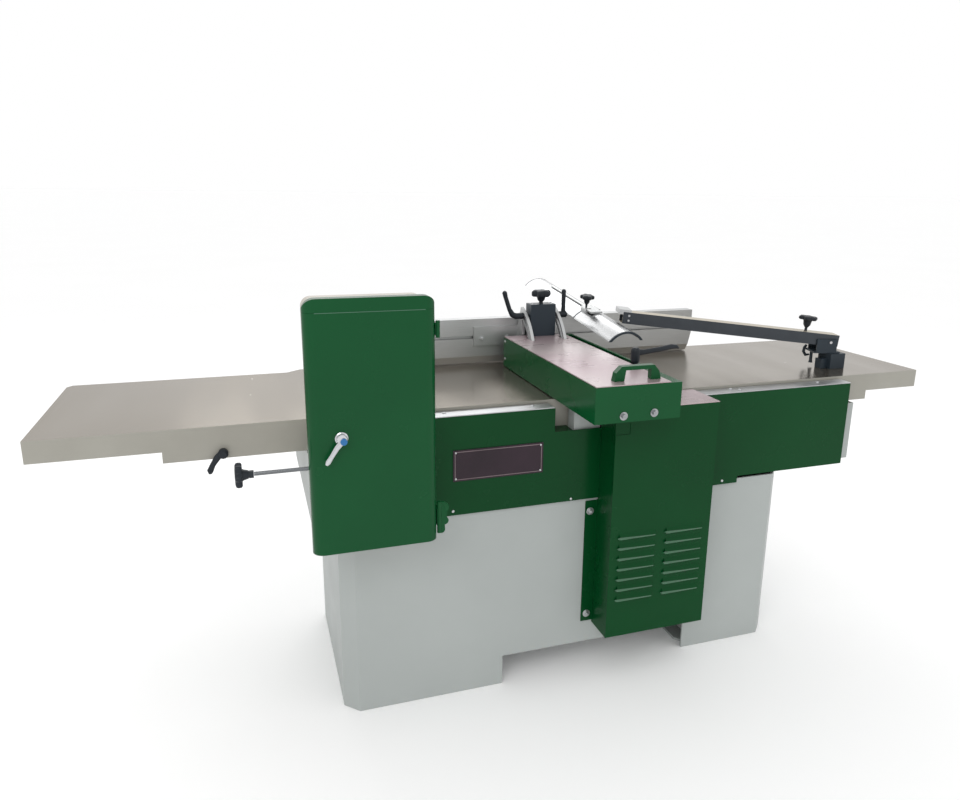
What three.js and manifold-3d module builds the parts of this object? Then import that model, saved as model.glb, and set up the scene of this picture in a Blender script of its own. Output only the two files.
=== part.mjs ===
// Surface planer (jointer) seen as an assembly: a welded pedestal and body, two cast tables
// with a cutterblock between them, a sliding bridge that carries a tilting fence, a swinging
// bridge guard, a belt drive behind a louvred cover and an electrical cabinet.
// Millimetres, +Z up, X along the tables, +Y towards the operator.
import * as THREE from 'three';
import { mergeVertices } from 'three/addons/utils/BufferGeometryUtils.js';
import Module from 'manifold-3d';

const wasm = await Module();
wasm.setup();

// ---------------------------------------------------------------- driving dimensions
const TABLE_LENGTH = 2600;
const TABLE_TOP = 840;
const TABLE_WIDTH = 556;
const INFEED_END_WIDTH = 524;
const APRON_END = 55;            // depth of the apron at the free ends
const APRON_DEEP = 83;           // depth of the apron over the body
const PLATE = 14;                // thickness of the table plates
const RIB = 10;

const CUTTER_X = 1482;
const CUTTER_CIRCLE = 49;        // radius that the knife edges sweep
const CUTTER_Z = TABLE_TOP - CUTTER_CIRCLE;
const MOUTH = 54;                // half the gap between the two tables

const BASE = { x0: 692, x1: 2066, y0: -47, y1: 521, top: 555, bevel: 39, wall: 6 };
const FOOT = { left: 1145, right: 1745, rise: 90, flange: 48 };
const BODY = { x0: 629, x1: 2363, y0: 8, y1: 545, z0: 555.4, z1: 744, wall: 8 };

const CHUTE = { half: 82, y: [24, 518], bottom: 602, top: 736, spout: 52, z: 660 };
const PANEL = { y: -54, sheet: 3, top: 829, z0: 553 };
const COVER = { x0: 1425, x1: 1745, y: -141, z0: 152, z1: 835, sheet: 3, flange: 36 };
const CABINET = { x0: 616, x1: 915, y0: -217, y1: -54.4, z0: 568, z1: 1171, sheet: 3, radius: 30 };
const DOOR = { depth: 28, top: 1140 };

const MOTOR = { x: 1600, z: 285, radius: 92 };
const PULLEY = { y0: -118, y1: -72, cutter: 33, motor: 48, rim: 5 };

const BRIDGE = { x0: 1300, x1: 1541, y0: -262, y1: 424, z0: 843, z1: 937, sheet: 3 };
const SLOT = { x0: 1513, x1: 1533, y0: -58, y1: 408 };   // long slot that the clamp stud stands in
const CLAMP = { x: 1523, y: -47 };
const POST = { x0: 1382, x1: 1468, y0: 396, y1: 442, z1: 1044 };
const FENCE = { x0: 800, x1: 2040, back: 480, face: 519, z0: 843, z1: 991 };

const LOCK = { x: 428, z: 772 };
const ROD = { y: -183, z: 776, radius: 4.7 };
const ARM = { x: 2359, y: 98, top: 949, heading: 162.3, pitch: 5.8, length: 722, width: 56, height: 38 };
const ARM_PIN = { along: 30, z: 927, radius: 4.6 };
const SWIVEL = { x: 2353, y: 117 };
const GUARD = { x: 1614.5, y: 178, z: 954, heading: 92.15, pitch: 7.86, length: 687, half: 58.5, rise: 30 };
const TILT = { y: 519, z: 843, pinY: 421, pinZ: 1005, inner: 175, outer: 203 };

const CENTRE = { x: 1300, y: 294.84 };   // plan position of the part's origin
const GAP = 0.4;

const rad = THREE.MathUtils.degToRad;

// ---------------------------------------------------------------- materials
const finish = (color, roughness, metalness = 0) =>
  new THREE.MeshStandardMaterial({ color, roughness, metalness });
const green = finish(0x0f5a32, 0.35);
const paleGrey = finish(0xb4b7b4, 0.5);
const castIron = finish(0xa8a294, 0.35, 0.8);
const steel = finish(0xb8bcc0, 0.3, 0.9);
const aluminium = finish(0xa9acad, 0.4, 0.8);
const polished = finish(0xe8e8ea, 0.15, 0.9);
const filmed = finish(0xd9cdd2, 0.2, 0.6);
const blackPlastic = finish(0x1d242b, 0.5);
const slate = finish(0x2c353d, 0.45, 0.3);
const rubber = finish(0x151515, 0.8);
const motorBlue = finish(0x3b5568, 0.5, 0.3);
const beige = finish(0xcfc6b4, 0.4, 0.5);
const plateInk = finish(0x2b2530, 0.4, 0.2);

// ---------------------------------------------------------------- solid helpers
function toManifold(geometry) {
  const bare = geometry.clone();
  bare.deleteAttribute('normal');
  bare.deleteAttribute('uv');
  const merged = mergeVertices(bare, 1e-4);
  return new wasm.Manifold(new wasm.Mesh({
    numProp: 3,
    vertProperties: new Float32Array(merged.attributes.position.array),
    triVerts: new Uint32Array(merged.index.array),
  }));
}

function toGeometry(manifold) {
  const mesh = manifold.getMesh();
  const geometry = new THREE.BufferGeometry();
  geometry.setAttribute('position', new THREE.BufferAttribute(mesh.vertProperties, 3));
  geometry.setIndex(new THREE.BufferAttribute(mesh.triVerts, 1));
  return geometry;
}

const join = (...pieces) => toGeometry(pieces.map(toManifold).reduce((sum, piece) => sum.add(piece)));
const cut = (body, ...tools) =>
  toGeometry(tools.map(toManifold).reduce((rest, tool) => rest.subtract(tool), toManifold(body)));

function block(x0, x1, y0, y1, z0, z1) {
  return new THREE.BoxGeometry(x1 - x0, y1 - y0, z1 - z0)
    .translate((x0 + x1) / 2, (y0 + y1) / 2, (z0 + z1) / 2);
}

// Turns a solid made along +Z so that it lies along another axis.
function along(axis, geometry) {
  if (axis === 'x') return geometry.applyMatrix4(new THREE.Matrix4().makeBasis(
    new THREE.Vector3(0, 1, 0), new THREE.Vector3(0, 0, 1), new THREE.Vector3(1, 0, 0)));
  if (axis === 'y') return geometry.applyMatrix4(new THREE.Matrix4().makeBasis(
    new THREE.Vector3(0, 0, 1), new THREE.Vector3(1, 0, 0), new THREE.Vector3(0, 1, 0)));
  return geometry;
}

// A round bar along an axis, from one end coordinate to the other.
function bar(axis, from, to, radius, centre, sides = 24) {
  const solid = new THREE.CylinderGeometry(radius, radius, to - from, sides)
    .rotateX(Math.PI / 2).translate(0, 0, (from + to) / 2);
  along(axis, solid);
  if (axis === 'x') return solid.translate(0, centre[0], centre[1]);
  if (axis === 'y') return solid.translate(centre[0], 0, centre[1]);
  return solid.translate(centre[0], centre[1], 0);
}

const outline = (points) => new THREE.Shape(points.map(([u, v]) => new THREE.Vector2(u, v)));
const prism = (shape, depth, curveSegments = 6) =>
  new THREE.ExtrudeGeometry(shape, { depth, bevelEnabled: false, curveSegments });

// Outlines drawn in plan (X, Y), in side view (X, Z) and in end view (Y, Z).
const plan = (points, z0, z1) => prism(outline(points), z1 - z0).translate(0, 0, z0);
const sideView = (shape, y0, y1, segments) => prism(shape, y1 - y0, segments)
  .rotateX(Math.PI / 2).translate(0, y1, 0);
const endView = (points, x0, x1) => along('x', prism(outline(points), x1 - x0)).translate(x0, 0, 0);

// Upright panel outline in (X, Z) with rounded top and bottom corners.
function panelShape(x0, x1, z0, z1, top, bottom = 0) {
  const shape = new THREE.Shape();
  const corners = [
    [x0 + bottom, z0 + bottom, bottom, Math.PI],
    [x1 - bottom, z0 + bottom, bottom, 1.5 * Math.PI],
    [x1 - top, z1 - top, top, 0],
    [x0 + top, z1 - top, top, 0.5 * Math.PI],
  ];
  corners.forEach(([x, z, radius, from], index) => {
    if (radius > 0) shape.absarc(x, z, radius, from, from + Math.PI / 2);
    else if (index === 0) shape.moveTo(x, z);
    else shape.lineTo(x, z);
  });
  return shape;
}

// Moves a solid made in a member's own frame (length along +X, up along +Z) to its place.
function posed(geometry, x, y, z, heading, pitch = 0) {
  return geometry.rotateY(-rad(pitch)).rotateZ(rad(heading)).translate(x, y, z);
}

// Lobed grip on a round stem, standing on z = 0.
function starKnob(radius, head, stemRadius, stem) {
  const lobes = 6;
  const steps = lobes * 6;
  const points = [];
  for (let i = 0; i < steps; i += 1) {
    const angle = (i / steps) * 2 * Math.PI;
    const reach = radius * (0.91 + 0.09 * Math.cos(lobes * angle));
    points.push([reach * Math.cos(angle), reach * Math.sin(angle)]);
  }
  const grip = prism(outline(points), head).translate(0, 0, stem);
  const hub = new THREE.CylinderGeometry(radius * 0.5, stemRadius * 1.25, stem * 0.7, 16)
    .rotateX(Math.PI / 2).translate(0, 0, stem * 0.65 + 0.5);
  return join(grip, hub, bar('z', 0, stem + 1, stemRadius, [0, 0], 16));
}

// Tapered hand lever: a hub on z = 0 with an arm that leaves it towards +X and rises.
function handLever(hubRadius, hubHeight, reach, rise) {
  const arm = outline([[0, hubHeight * 0.35], [reach * 0.35, hubHeight * 0.6 + rise * 0.3],
    [reach - 4, rise + hubHeight * 0.55], [reach, rise + hubHeight * 0.75],
    [reach - 4, rise + hubHeight], [reach * 0.3, hubHeight + rise * 0.35], [0, hubHeight]]);
  const width = hubRadius * 1.1;
  const blade = prism(arm, width).rotateX(Math.PI / 2).translate(0, width / 2, 0);
  return join(bar('z', 0, hubHeight, hubRadius, [0, 0], 18), blade);
}

// ---------------------------------------------------------------- scene helpers
const machine = new THREE.Group();

function place(name, geometry, material, parent = machine) {
  const mesh = new THREE.Mesh(geometry, material);
  mesh.name = name;
  parent.add(mesh);
  return mesh;
}

// ---------------------------------------------------------------- pedestal and body
function bevelled(x0, x1, y0, y1, bevel, z0, z1) {
  return plan([[x0 + bevel, y0], [x1 - bevel, y0], [x1, y0 + bevel], [x1, y1 - bevel],
    [x1 - bevel, y1], [x0 + bevel, y1], [x0, y1 - bevel], [x0, y0 + bevel]], z0, z1);
}

function addPedestal() {
  const { x0, x1, y0, y1, top, bevel, wall } = BASE;
  const shell = cut(
    bevelled(x0, x1, y0, y1, bevel, 0, top),
    bevelled(x0 + wall, x1 - wall, y0 + wall, y1 - wall, bevel - 2, -1, top + 1),
    block(FOOT.left, FOOT.right, y0 - 1, y1 + 1, -1, FOOT.rise),
    bar('y', y0 - 1, y0 + wall + 1, 30, [MOTOR.x, MOTOR.z]),
  );
  const flanges = [[x0 + wall - 1, FOOT.left - 1], [FOOT.right + 1, x1 - wall + 1]].map(([from, to]) => cut(
    bevelled(from, to, y0 + wall - 1, y1 - wall + 1, bevel, 0, 8),
    bevelled(from + FOOT.flange, to - FOOT.flange, y0 + FOOT.flange, y1 - FOOT.flange, bevel / 2, -1, 9),
  ));
  place('base_pedestal', join(shell, ...flanges), paleGrey);
}

function addBody() {
  const { x0, x1, y0, y1, z0, z1, wall } = BODY;
  const shell = cut(
    block(x0, x1, y0, y1, z0, z1),
    block(x0 + wall, 1380, y0 + wall, y1 - wall, z0 + wall, z1 + 1),
    block(1390, 1574, y0 + wall, y1 - wall, z0 - 1, z1 + 1),
    block(1584, x1 - wall, y0 + wall, y1 - wall, z0 + wall, z1 + 1),
    bar('y', y1 - wall - 1, y1 + 1, CHUTE.spout + 2, [CUTTER_X, CHUTE.z], 32),
  );
  place('upper_body', shell, paleGrey);

  const { spout, z, half, y: [near, far], bottom, top } = CHUTE;
  const left = CUTTER_X - half;
  const right = CUTTER_X + half;
  place('chip_chute', cut(
    join(block(left, right, near, far, bottom, top), bar('y', far - 3, y1 + 45, spout, [CUTTER_X, z], 32)),
    block(left + 3, right - 3, near + 3, far - 3, bottom + 3, top + 1),
    bar('y', far - 10, y1 + 46, spout - 3, [CUTTER_X, z], 32),
  ), steel);
}

// ---------------------------------------------------------------- rear panels and ledges
function addRearPanels() {
  const { y, sheet, top, z0 } = PANEL;
  const left = { x0: 640, x1: 1437, step: 1285, low: 762 };
  const back = -3;
  place('rear_panel_left', join(
    block(left.x0, left.step, y, y + sheet, z0, top),
    block(left.step - 1, left.x1, y, y + sheet, z0, left.low),
    block(left.x0, left.step, y, back, top - sheet, top),
    block(left.step - sheet, left.step, y, back, left.low - 20, top),
    block(left.step - 1, 1340, y, back, left.low - sheet, left.low),
    block(left.x0, left.x0 + sheet, y, back, z0, top),
  ), green);

  const right = { x0: 1750, x1: 2281, z0: 566, tab: 1892, tabZ: 545 };
  place('rear_panel_right', join(
    block(right.x0, right.x1, y, y + sheet, right.z0, top),
    block(right.x0, right.tab, y, y + sheet, right.tabZ, right.z0 + 1),
    block(right.x0, right.x1, y, back, top - sheet, top),
    block(right.x1 - sheet, right.x1, y, back, right.z0, top),
  ), green);

  [['ledge_left', 920, left.step - 2], ['ledge_right', right.x0 + 2, right.x1 + 2]]
    .forEach(([name, from, to]) => {
      place(name, block(from, to, y + 2, back, top + GAP, top + 3), aluminium);
    });

  place('nameplate', block(996, 1251, y - 2.4, y - GAP, 650, 737), plateInk);
}

// ---------------------------------------------------------------- louvred drive cover
function addDriveCover() {
  const { x0, x1, y, z0, z1, sheet, flange } = COVER;
  const back = BASE.y0 - GAP;
  const panelBack = PANEL.y - GAP;
  const seam = 545;
  const louvres = [];
  [[1453, 1565], [1601, 1717]].forEach(([from, to]) => {
    for (let row = 0; row < 7; row += 1) {
      const z = 272 + row * 32;
      const hood = [[y + 0.5, z - 5], [y - 8, z - 4], [y - 7.5, z - 1], [y + 0.5, z + 12]];
      louvres.push(endView(hood, from, to));
    }
  });
  const slots = louvres.map((_, i) => block(i < 7 ? 1457 : 1605, i < 7 ? 1561 : 1713,
    y - 1, y + sheet + 1, 272 + (i % 7) * 32 - 3, 272 + (i % 7) * 32 + 2));
  const box = cut(
    join(block(x0, x1, y, back, z0, seam), block(x0, x1, y, panelBack, seam - 1, z1)),
    block(x0 + sheet, x1 - sheet, y + sheet, back + 1, z0 + sheet, z1 - sheet),
    block(x0 - 1, x0 + 44, y - 1, y + sheet / 2, 766, 798),
  );
  place('drive_cover', cut(join(
    box,
    block(x0 - flange, x0 + 1, back - sheet, back, z0 + 8, seam - 1),
    ...louvres,
  ), ...slots), green);
  place('cover_top_plate', block(BRIDGE.x1 + 2, x1, y, -4, z1 + GAP, z1 + 2.6), filmed);
}

// ---------------------------------------------------------------- drive train
function pulley(radius, bore) {
  const half = (PULLEY.y1 - PULLEY.y0) / 2;
  const rim = radius + PULLEY.rim;
  const profile = [[bore, -half], [rim, -half], [rim, -half + 4], [radius, -half + 6],
    [radius, half - 6], [rim, half - 4], [rim, half], [bore, half], [bore, -half]];
  return along('y', new THREE.LatheGeometry(profile.map(([r, h]) => new THREE.Vector2(r, h)), 32)
    .rotateX(Math.PI / 2));
}

// Round-ended loop round two pulleys, drawn in (X, Z).
function beltLoop(grow) {
  const top = new THREE.Vector2(CUTTER_X, CUTTER_Z);
  const low = new THREE.Vector2(MOTOR.x, MOTOR.z);
  const gap = low.clone().sub(top);
  const run = Math.atan2(gap.y, gap.x);
  const a = PULLEY.cutter + grow;
  const b = PULLEY.motor + grow;
  const lean = Math.acos((a - b) / gap.length());
  const shape = new THREE.Shape();
  shape.absarc(top.x, top.y, a, run + lean, run - lean + 2 * Math.PI);
  shape.absarc(low.x, low.y, b, run - lean, run + lean);
  shape.closePath();
  return shape;
}

function addDrive() {
  const middle = (PULLEY.y0 + PULLEY.y1) / 2;
  const knives = [0, 1, 2, 3].map((i) => block(-2, 2, 30, 520, 30, CUTTER_CIRCLE)
    .rotateY(i * Math.PI / 2));
  const cutter = join(
    bar('y', 30, 520, CUTTER_CIRCLE - 3, [0, 0], 32),
    bar('y', PULLEY.y0 - 4, 536, 17, [0, 0], 20),
    ...knives,
  );
  place('cutterblock', cutter, steel).position.set(CUTTER_X, 0, CUTTER_Z);
  place('cutter_pulley', pulley(PULLEY.cutter, 17 + GAP), slate).position.set(CUTTER_X, middle, CUTTER_Z);

  const side = 47;
  const housings = [['bearing_housing_near', -40, 7.6, 640], ['bearing_housing_far', 524, 536.6, 722]];
  housings.forEach(([name, y0, y1, z0]) => {
    place(name, cut(
      sideView(panelShape(CUTTER_X - side, CUTTER_X + side, z0, CUTTER_Z + 38, 34), y0, y1),
      bar('y', y0 - 1, y1 + 1, 17 + GAP, [CUTTER_X, CUTTER_Z], 20),
    ), slate);
  });

  const { x, z, radius } = MOTOR;
  place('motor_stator', cut(
    join(bar('y', -30, 215, radius, [x, z], 32), bar('y', -36, -30 + 1, radius * 0.7, [x, z], 24),
      block(x - 70, x + 70, 10, 180, z - radius - 22, z - 40),
      block(x - 45, x + 45, 60, 150, z + 40, z + radius + 26)),
    bar('y', -40, 60, 16, [x, z]),
  ), motorBlue);
  place('motor_rotor', bar('y', PULLEY.y0 - 4, 56, 14, [x, z], 20), steel);
  place('motor_pulley', pulley(PULLEY.motor, 14 + GAP), slate).position.set(x, middle, z);
  place('motor_shelf', block(FOOT.left - 120, FOOT.right + 120, BASE.y0 + BASE.wall + GAP,
    BASE.y1 - BASE.wall - GAP, z - radius - 32, z - radius - 22 - GAP), paleGrey);

  const ring = beltLoop(6);
  ring.holes.push(beltLoop(0.6));
  place('drive_belt', sideView(ring, PULLEY.y0 + 8, PULLEY.y1 - 8, 14), rubber);
}

// ---------------------------------------------------------------- tables
function tableCasting(planPoints, x0, x1, endX, deepX, width) {
  const bottom = TABLE_TOP - APRON_DEEP;
  const high = TABLE_TOP - APRON_END;
  const shallow = deepX > endX ? [endX, deepX] : [deepX, endX];
  const pockets = [];
  const count = 6;
  const from = x0 + RIB;
  const step = (x1 - RIB - from) / count;
  for (let i = 0; i < count; i += 1) {
    pockets.push(block(from + i * step, from + (i + 1) * step - RIB, RIB, width - RIB,
      bottom - 1, TABLE_TOP - PLATE));
  }
  return cut(
    plan(planPoints, bottom, TABLE_TOP),
    block(shallow[0] - 1, shallow[1], -1, TABLE_WIDTH + 40, bottom - 1, high),
    ...pockets,
  );
}

function addTables() {
  const infeedEnd = CUTTER_X - MOUTH;
  const outfeedStart = CUTTER_X + MOUTH;
  const lipDepth = 26;
  const infeedCast = infeedEnd - lipDepth;
  const outfeedCast = outfeedStart + lipDepth;
  const infeedPlan = [[0, 0], [infeedCast, 0], [infeedCast, TABLE_WIDTH], [655, TABLE_WIDTH],
    [614, INFEED_END_WIDTH], [13, INFEED_END_WIDTH], [0, INFEED_END_WIDTH - 17]];
  const lockHole = bar('y', -1, RIB + 1, 7, [LOCK.x, LOCK.z], 16);
  const infeed = tableCasting(infeedPlan, 0, infeedCast, 0, 290, INFEED_END_WIDTH - 4);
  place('infeed_table', cut(infeed, lockHole), castIron);

  const outfeedPlan = [[outfeedCast, 0], [TABLE_LENGTH, 0], [TABLE_LENGTH, TABLE_WIDTH],
    [outfeedCast, TABLE_WIDTH]];
  const outfeed = tableCasting(outfeedPlan, outfeedCast, TABLE_LENGTH, TABLE_LENGTH, 2400, TABLE_WIDTH);
  place('outfeed_table', outfeed, castIron);

  const lip = (inner, outer) => sideView(outline([[outer, TABLE_TOP], [outer, TABLE_TOP - 42],
    [outer + (inner - outer) * 0.35, TABLE_TOP - 42], [inner, TABLE_TOP - 8],
    [inner, TABLE_TOP]]), 0, TABLE_WIDTH);
  place('infeed_lip', lip(infeedEnd, infeedCast + GAP), steel);
  place('outfeed_lip', lip(outfeedStart, outfeedCast - GAP), steel);

  const way = (name, x0, x1) => place(name, join(
    block(x0, x1, 40, 500, BODY.z0 + BODY.wall + GAP, BODY.z0 + BODY.wall + 22),
    block(x0 + 10, x0 + 40, 60, 480, BODY.z0 + BODY.wall + 10, BODY.z1 - 2),
    block(x1 - 40, x1 - 10, 60, 480, BODY.z0 + BODY.wall + 10, BODY.z1 - 2),
  ), slate);
  way('infeed_slideway', 820, 1240);
  way('outfeed_slideway', 1720, 2140);
}

// ---------------------------------------------------------------- hand controls below the infeed table
function addTableControls() {
  const knob = place('adjusting_knob', starKnob(29, 17, 10, 24), blackPlastic);
  knob.position.set(496, ROD.y, ROD.z);
  knob.rotation.y = -Math.PI / 2;
  place('adjusting_rod', bar('x', 496 + GAP, 685, ROD.radius, [ROD.y, ROD.z], 16), steel);
  place('lift_gearbox', cut(
    block(650, 700, -194, CABINET.y1 - CABINET.sheet - GAP, ROD.z - 32, ROD.z + 26),
    bar('x', 649, 690, ROD.radius + GAP, [ROD.y, ROD.z], 16),
  ), slate);

  const lever = place('table_lock_lever', join(
    bar('y', -14, 8, 6, [0, 0], 14),
    bar('y', -20, -1, 12, [0, 0], 18),
    sideView(outline([[-2, 10], [-26, -12], [-40, -38], [-36, -50], [-26, -48], [6, -8]]), -19, -6),
  ), blackPlastic);
  lever.position.set(LOCK.x, 0, LOCK.z);
}

// ---------------------------------------------------------------- electrical cabinet
function addCabinet() {
  const { x0, x1, y0, y1, z0, z1, sheet, radius } = CABINET;
  const front = y0 + DOOR.depth + GAP;
  // The door and header overlap the box behind them on the left and at the top.
  const left = x0 + 9;
  const roof = z1 - 14;
  place('cabinet_shell', cut(
    sideView(panelShape(left, x1, z0, roof, radius - 6, 4), front, y1),
    sideView(panelShape(left + sheet, x1 - sheet, z0 + sheet, roof - sheet, radius - 6 - sheet, 2),
      front - 1, y1 - sheet),
    bar('x', left - 1, left + sheet + 1, ROD.radius + 1, [ROD.y, ROD.z], 16),
  ), paleGrey);

  // Plan outline of the front: the outer vertical edges are rounded.
  const tray = (inset, low, high) => {
    const round = DOOR.depth - inset - 1;
    const shape = new THREE.Shape();
    shape.moveTo(x0 + inset, front - GAP + (inset > 0 ? 1 : 0));
    shape.absarc(x0 + inset + round, y0 + inset + round, round, Math.PI, 1.5 * Math.PI);
    shape.absarc(x1 - inset - round, y0 + inset + round, round, 1.5 * Math.PI, 2 * Math.PI);
    shape.lineTo(x1 - inset, front - GAP + (inset > 0 ? 1 : 0));
    return prism(shape, high - low, 5).translate(0, 0, low);
  };
  const doorTop = DOOR.top - GAP;
  place('cabinet_door', cut(tray(0, z0, doorTop), tray(sheet, z0 + sheet, doorTop - sheet)), green);
  const dome = sideView(panelShape(x0 - 1, x1 + 1, DOOR.top - 40, z1, radius, 0), y0 - 1, front + 1);
  const header = toManifold(tray(0, DOOR.top, z1)).intersect(toManifold(dome));
  place('cabinet_header', cut(toGeometry(header),
    block(x0 + 20, x1 - 20, y0 + sheet, front + 1, DOOR.top - 1, roof - 2)), green);

  const pin = { x: x1 + 6.5, y: y0 + 20 };
  const leaf = (low, high) => join(
    block(x1 + GAP, x1 + 7, pin.y - 2, pin.y + 2, low, high),
    block(x1 + GAP, x1 + 4, pin.y, y1 - 30, low, high),
  );
  place('cabinet_hinge_upper', join(bar('z', 1070, 1110, 5, [pin.x, pin.y], 16), leaf(1075, 1105)), green);
  const lobed = new THREE.Shape();
  lobed.moveTo(x1 + 4, 578);
  lobed.absarc(x1 + 11, 588, 10, -Math.PI / 2, 0);
  lobed.absarc(x1 + 20, 610, 10, -Math.PI / 2, Math.PI / 3);
  lobed.absarc(x1 + 16, 645, 15, -Math.PI / 4, Math.PI / 2);
  lobed.lineTo(x1 + 4, 660);
  place('cabinet_hinge_lower', join(bar('z', 580, 662, 5.5, [pin.x, pin.y], 16), leaf(600, 645),
    sideView(lobed, pin.y - 2, pin.y + 4)), green);

  const lock = place('door_lock_handle', join(
    bar('y', -14, -GAP, 13, [0, 0], 24),
    sideView(outline([[-9, 6], [-38, -50], [-30, -56], [9, -6]]), -20, -13),
  ), steel);
  lock.position.set(690, y0, 853);
  const back = y1 - sheet - GAP;
  place('switch_plate', block(x0 + 100, x1 - 20, back - 3, back, z0 + 60, z1 - 70), steel);
  const parts = [['main_contactor', 730, 880, 900, 990, 70],
    ['terminal_strip', 730, 880, 640, 680, 38]];
  parts.forEach(([name, from, to, low, high, depth]) => {
    place(name, block(from, to, back - 3 - GAP - depth, back - 3 - GAP, low, high), blackPlastic);
  });
}

// ---------------------------------------------------------------- fence bridge
function addBridge() {
  const { x0, x1, y0, y1, z0, z1, sheet } = BRIDGE;
  const arcSlots = [1361, 1473].map((x) => block(x, x + 16, 326, 388, z1 - sheet - 1, z1 + 4));
  const bolts = [[1379, 860], [1465, 862]].flatMap((centre) => [
    bar('y', y0 - 1.9, y0 + 1, 11, centre, 20),
    bar('y', y0 - 8.4, y0 + 1, 6.2, centre, 16),
  ]);
  place('bridge_housing', cut(
    join(block(x0, x1, y0, y1, z0, z1), ...bolts),
    block(x0 + sheet, x1 - sheet, y0 + sheet, y1 - sheet, z0 - 1, z1 - sheet),
    block(SLOT.x0, SLOT.x1, SLOT.y0, SLOT.y1, z1 - sheet - 1, z1 + 1),
    ...arcSlots,
  ), green);
  place('bridge_top_plate', cut(block(x0 + 1, SLOT.x0 - 4, y0 + 1, y1 - 1, z1 + GAP, z1 + 3),
    ...arcSlots), filmed);

  const plateTop = z1 + 3 + GAP;
  const loop = outline([[1366, plateTop], [1370, 962], [1386, 978], [1478, 978], [1492, 962], [1498, plateTop],
    [1470, plateTop], [1470, 968], [1398, 968], [1394, plateTop]]);
  place('bridge_handle', sideView(loop, -229, -211), green);

  // The casting bolted to the body carries the slide bar; the stud clamps the bridge to it.
  const channel = { x0: 1388, x1: 1462, z0: 872, z1: 922 };
  place('fence_support', cut(
    join(block(1340, 1534, -108, -27, 847, 930), block(1345, 1425, -46, -27, 740, 850),
      block(1345, 1425, -46, -6, 740, 839), block(1345, 1425, -46, 7.6, 640, 743)),
    block(channel.x0, channel.x1, -120, 0, channel.z0, channel.z1),
    block(1358, 1380, -120, 0, 862, 931),
    block(1470, 1492, -120, 0, 862, 931),
  ), paleGrey);
  place('slide_bar', block(channel.x0 + GAP, channel.x1 - GAP, y0 + sheet + GAP, y1 - sheet - GAP,
    channel.z0 + GAP, channel.z1 - GAP), steel);

  const stud = 930 + GAP;
  const clamp = place('bridge_clamp_lever', join(
    bar('z', 0, 16, 8, [0, 0], 16),
    handLever(11, 42, 118, -8).translate(0, 0, 11),
  ), slate);
  clamp.position.set(CLAMP.x, CLAMP.y, stud);
}

// ---------------------------------------------------------------- fence and its tilting frame
function addFence() {
  const { x0, x1, back, face, z0, z1 } = FENCE;
  const slotZ = 931;
  const profile = outline([[back, 866], [back + 8, z0], [face, z0], [face, z1], [back, z1],
    [back, slotZ + 5], [back + 4, slotZ + 5], [back + 4, slotZ + 11], [back + 12, slotZ + 11],
    [back + 12, slotZ - 11], [back + 4, slotZ - 11], [back + 4, slotZ - 5], [back, slotZ - 5]]);
  [[948, 985], [874, 914]].forEach(([low, high]) => {
    profile.holes.push(outline([[back + 5, low], [face - 5, low], [face - 5, high], [back + 5, high]]));
  });
  const extrusion = along('x', prism(profile, x1 - x0)).translate(x0, 0, 0);
  const corner = sideView(outline([[x1 + 1, 912], [x1 + 1, z0 - 1], [x1 - 15, z0 - 1]]), back - 1, face + 1);
  place('fence', cut(extrusion, corner), aluminium);

  const ring = (inner, outer, from, to) => {
    const shape = new THREE.Shape();
    shape.absarc(TILT.y, TILT.z, outer, rad(from), rad(to));
    shape.absarc(TILT.y, TILT.z, inner, rad(to), rad(from), true);
    return shape;
  };
  const sector = (x) => {
    const shape = ring(TILT.inner, TILT.outer, 112, 171);
    shape.holes.push(ring(183, 195.6, 117, 169));
    const arc = along('x', prism(shape, 10, 20)).translate(x, 0, 0);
    const web = endView([[472, 903], [472, 965], [452, 1014], [436, 1004], [430, 985], [430, 940]], x, x + 10);
    return join(arc, web);
  };
  place('tilt_frame', join(
    block(1212, 1490, back - 8.4, back - GAP, 903, 965),
    block(1230, 1350, back - 1, back + 4.8, slotZ - 4.6, slotZ + 4.6),
    block(1230, 1350, back + 4.4, back + 11.6, slotZ - 10.6, slotZ + 10.6),
    sector(1364),
    sector(1476),
  ), aluminium);

  const { x0: left, x1: right, y0, y1, z1: top } = POST;
  const base = BRIDGE.z1 + 3 + GAP;
  const pinAt = [TILT.pinY, TILT.pinZ];
  place('fence_post', cut(
    block(left, right, y0, y1, base, top),
    bar('x', left - 1, right + 1, 5.4, pinAt, 16),
  ), slate);
  const arms = [
    ['tilt_lever_left', [left + 8, left - 18.6, left - 60],
      outline([[-4, 12], [-24, 84], [-36, 84], [-22, -8], [4, -8]])],
    ['tilt_lever_right', [right - 8, right + 18.6, right + 50],
      outline([[-9, 6], [9, 6], [7, 84], [-5, 84]])],
  ];
  arms.forEach(([name, [inner, shoulder, end], shape]) => {
    const low = Math.min(shoulder, end);
    const high = Math.max(shoulder, end);
    const pin = [Math.min(inner, shoulder) - 0.5, Math.max(inner, shoulder) + 0.5];
    const grip = sideView(shape, -7, 7).translate(name.endsWith('left') ? low + 8 : high - 12, 0, 0);
    const stub = join(bar('x', low, high, 11, [0, 0], 18), bar('x', pin[0], pin[1], 5, [0, 0], 16));
    const lever = place(name, join(stub, grip), blackPlastic);
    lever.position.set(0, TILT.pinY, TILT.pinZ);
  });
  place('post_knob', starKnob(33, 22, 8, 22), blackPlastic).position.set((left + right) / 2, (y0 + y1) / 2, top + GAP);
}

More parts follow.
